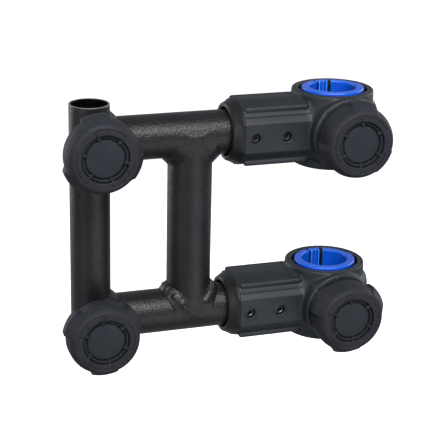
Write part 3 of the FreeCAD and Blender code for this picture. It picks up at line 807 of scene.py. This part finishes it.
def grip_shape(x, y, z):
    """Rubber overmould: slits between six bars round the cap, and a pad outlined by each lobe."""
    rho = np.hypot(x, z)
    turn = np.degrees(np.arctan2(z, x))
    w = -y
    crown = 0.012 * np.maximum(rho - 17.0, 0) ** 2
    d = smooth_max(knob_outline(rho, turn, w) * 0.85, w - (FACE - crown), 0.9)
    d = smooth_max(d, SKIRT - w, 0.6)
    core = np.maximum(rho - (CORE_R + 0.05), w - CORE_TOP)
    well = rho - CAP_R - 0.1
    rib = np.abs(rho * np.sin(np.radians(around(turn - 8.0, 60.0)))) - 0.8
    moat = np.maximum(np.abs(rho - 12.1) - 0.6, 16.4 - w)
    ledge = np.maximum(np.abs(rho - 13.1) - 1.5, 18.2 - w)
    slit = np.maximum(np.abs(rho - 14.3) - 0.26, 17.0 - w)
    cuts = np.maximum(np.minimum(np.minimum(moat, ledge), slit), -rib)
    cuts = np.minimum(cuts, np.maximum(np.abs(rho - 13.1) - 1.5, 19.3 - w))
    a = around(turn, 120.0)
    pad = np.maximum(np.abs(rho - 17.7) - 0.22, np.maximum(PAD_FROM - a, a - PAD_TO) * 0.3)
    for edge in (PAD_TO, -13.0, PAD_FROM):
        radial = np.abs(rho * np.sin(np.radians(a - edge))) - 0.2
        pad = np.minimum(pad, np.maximum(radial, np.abs(rho - 16.0) - 1.7))
    cuts = np.minimum(cuts, np.maximum(pad, 19.5 - w))
    d = smooth_max(d, -cuts, 0.25)
    return smooth_max(d, -np.minimum(core, well), 0.2)


def hub_shape(x, y, z):
    """Hard core, hollow and ribbed underneath, with a hole for the stud."""
    rho = np.hypot(x, z)
    w = -y
    turn = np.degrees(np.arctan2(z, x))
    d = smooth_max(rho - CORE_R, np.abs(w - CORE_TOP / 2) - CORE_TOP / 2, 0.6)
    d = np.minimum(d, smooth_max(rho - 12.6, np.abs(w - 15.4) - 1.4, 0.3))
    d = smooth_max(d, -smooth_max(rho - 12.5, w - 5.5, 0.6), 0.4)
    rib = 0.7 - np.abs(rho * np.sin(np.radians(around(turn, 30.0))))
    pocket = np.maximum(np.maximum(np.abs(rho - 16.1) - 2.1, w - 9.0), rib)
    d = smooth_max(d, -pocket, 0.5)
    return smooth_max(d, -np.maximum(rho - 3.95, w - 8.6), 0.2)


def cap_mesh():
    """Disc in the grip's well, a little domed towards its edge."""
    profile = [(-16.9, 0.05), (-16.9, 11.2), (-17.8, CAP_R), (-18.05, 11.3),
               (-18.2, 10.8), (-18.28, 6.0), (-18.3, 0.05)]
    return lathe(profile[::-1], "y", closed=False)


def stud_mesh(back, front):
    """Threaded stud from its point at y = back to y = front, then its hexagon head."""
    angles = np.arange(48) / 48 * TAU
    pitch, depth, stud_r, neck = 1.25, 0.6, 4.0, 2.3
    point = [(0.6, 0.0), (1.7, 0.1), (1.8, 0.4), (1.8, 2.2), (3.0, neck)]
    rows = [ring(r, back - behind, "y", angles) for r, behind in point]
    y = back - 2.7
    while y > front:
        wave = np.abs(((y / pitch + angles / TAU) % 1.0) - 0.5) * 2
        fade = min(1.0, (back - neck - y) / 1.2)
        rows.append(ring(stud_r - depth * wave - (1 - fade) * 0.6, y, "y", angles))
        y -= pitch / 10
    head = hex_radius(angles, 13.0)
    for r, ahead in ((stud_r, 0.0), (6.2, 0.0), (head * 0.97, 0.1), (head, 0.5), (head, 4.8),
                     (head * 0.97, 5.2), (3.0, 5.3)):
        rows.append(ring(r, front - ahead, "y", angles))
    return loft([r[::-1] for r in rows])


def shoe_mesh():
    """Swivelling shoe, its flat face at the back and a cup for the stud's point in front."""
    profile = [(0.0, 0.05), (0.0, 2.6), (-0.15, 2.95), (-0.5, 3.15), (-3.3, 3.2), (-3.7, 3.05),
               (-3.95, 2.7), (-4.0, 2.1), (-3.7, 1.95), (-1.7, 1.9), (-1.6, 0.05)]
    return lathe(profile, "y", np.arange(48) / 48 * TAU, closed=False)


def turned(made, degrees):
    """A knob mesh turned anticlockwise as seen from in front."""
    points, faces = made
    c, s = math.cos(math.radians(degrees)), math.sin(math.radians(degrees))
    x, y, z = points.T
    return np.stack([x * c - z * s, y, x * s + z * c], 1), faces


grip_mesh = polygonise(grip_shape, *GRIP_BOX, step=0.36)
hub_mesh = polygonise(hub_shape, *HUB_BOX, step=0.5)
cap = cap_mesh()
shoe = shoe_mesh()
for key, lobe in FIRST_LOBES.items():
    place, level = key.split("_")
    x, y = KNOB_FEET[place]
    z = LEVELS[level]
    at = (x, y, z)
    body = "knob_" + key
    piece("grip_" + key, turned(grip_mesh, lobe), "knob_grip_" + key, body, GRIP, at)
    shared_piece("hub", "hub_" + key, hub_mesh, "knob_hub_" + key, body, HUB, at)
    shared_piece("cap", "cap_" + key, cap, "knob_cap_" + key, body, CAP, at, crease=30)
    point_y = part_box("knob_stud_" + key)[1].y / MM
    shared_piece("stud_" + key[:3], "stud_" + key, stud_mesh(point_y - y, -8.5), "knob_stud_" + key, body,
                 STEEL, at, crease=35)
    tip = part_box("knob_tip_" + key)[1].y / MM
    shared_piece("shoe", "shoe_" + key, shoe, "knob_tip_" + key, "shoe_" + key, SHOE,
                 (x, tip, z), crease=35)


# ---------------------------------------------------------------- stage, light and camera, in metres

FLOOR_HALF = 6.0
FLOOR_Z = -0.36
FLOOR_GLOW = 0.60
MIDDLE = (-0.07, 0.0, 0.06)
CAMERA_TURN = (-18.77, 19.17, 1.245)  # azimuth, elevation and roll in degrees
CAMERA_AIM = (-0.07667, 0.0, 0.06116)
CAMERA_DISTANCE = 0.906
CAMERA_LENS = 119.4


def floor_white():
    """White that glows a little, so that it stays white behind the object."""
    material = bpy.data.materials.new("floor_white")
    material.use_nodes = True
    shader = material.node_tree.nodes["Principled BSDF"]
    shader.inputs["Base Color"].default_value = (0.9, 0.9, 0.9, 1.0)
    shader.inputs["Roughness"].default_value = 0.9
    shader.inputs["Emission Color"].default_value = (1, 1, 1, 1)
    shader.inputs["Emission Strength"].default_value = FLOOR_GLOW
    return material


floor_mesh = bpy.data.meshes.new("floor")
corners = [(x * FLOOR_HALF, y * FLOOR_HALF, FLOOR_Z) for x, y in ((-1, -1), (1, -1), (1, 1), (-1, 1))]
floor_mesh.from_pydata(corners, [], [(0, 1, 2, 3)])
floor_mesh.materials.append(floor_white())
floor = bpy.data.objects.new("floor", floor_mesh)
bpy.context.scene.collection.objects.link(floor)
floor.visible_diffuse = False
floor.visible_glossy = False


def softbox(name, place, width, height, power):
    """Area light that faces the middle of the object."""
    data = bpy.data.lights.new(name, "AREA")
    data.shape = "RECTANGLE"
    data.size, data.size_y = width, height
    data.energy = power
    light = bpy.data.objects.new(name, data)
    bpy.context.scene.collection.objects.link(light)
    light.location = place
    light.rotation_euler = (Vector(MIDDLE) - Vector(place)).to_track_quat("-Z", "Y").to_euler()


softbox("key", (-0.15, -0.85, 0.95), 1.1, 0.30, 30.0)
softbox("fill", (-1.05, -0.75, 0.25), 0.6, 0.9, 5.5)
softbox("low", (0.25, -0.85, -0.34), 0.9, 0.6, 4.2)
softbox("side", (1.15, 0.25, 0.35), 0.8, 0.8, 7.0)
softbox("back", (-0.85, 0.85, 0.15), 0.8, 0.8, 5.5)

world = bpy.data.worlds.new("studio")
bpy.context.scene.world = world
world.use_nodes = True
tree = world.node_tree
seen = tree.nodes["Background"]
seen.inputs["Color"].default_value = (1, 1, 1, 1)
seen.inputs["Strength"].default_value = 1.0
lit = tree.nodes.new("ShaderNodeBackground")
lit.inputs["Color"].default_value = (0.92, 0.96, 1.0, 1)
lit.inputs["Strength"].default_value = 0.44
choose = tree.nodes.new("ShaderNodeMixShader")
path = tree.nodes.new("ShaderNodeLightPath")
tree.links.new(path.outputs["Is Camera Ray"], choose.inputs["Fac"])
tree.links.new(lit.outputs[0], choose.inputs[1])
tree.links.new(seen.outputs[0], choose.inputs[2])
tree.links.new(choose.outputs[0], tree.nodes["World Output"].inputs["Surface"])
bpy.context.scene.view_settings.view_transform = "Standard"

azimuth, elevation, roll = (math.radians(a) for a in CAMERA_TURN)
flat = math.cos(elevation)
back = Vector((math.sin(azimuth) * flat, -math.cos(azimuth) * flat, math.sin(elevation)))
right = Vector((math.cos(azimuth), math.sin(azimuth), 0.0))
up = back.cross(right)
tilted = right * math.cos(roll) + up * math.sin(roll)
upright = up * math.cos(roll) - right * math.sin(roll)
camera = bpy.data.objects.new("camera", bpy.data.cameras.new("camera"))
bpy.context.scene.collection.objects.link(camera)
camera.data.sensor_width = 36.0
camera.data.lens = CAMERA_LENS
turn = Matrix((tilted, upright, back)).transposed().to_4x4()
camera.matrix_world = Matrix.Translation(Vector(CAMERA_AIM) + back * CAMERA_DISTANCE) @ turn
bpy.context.scene.camera = camera
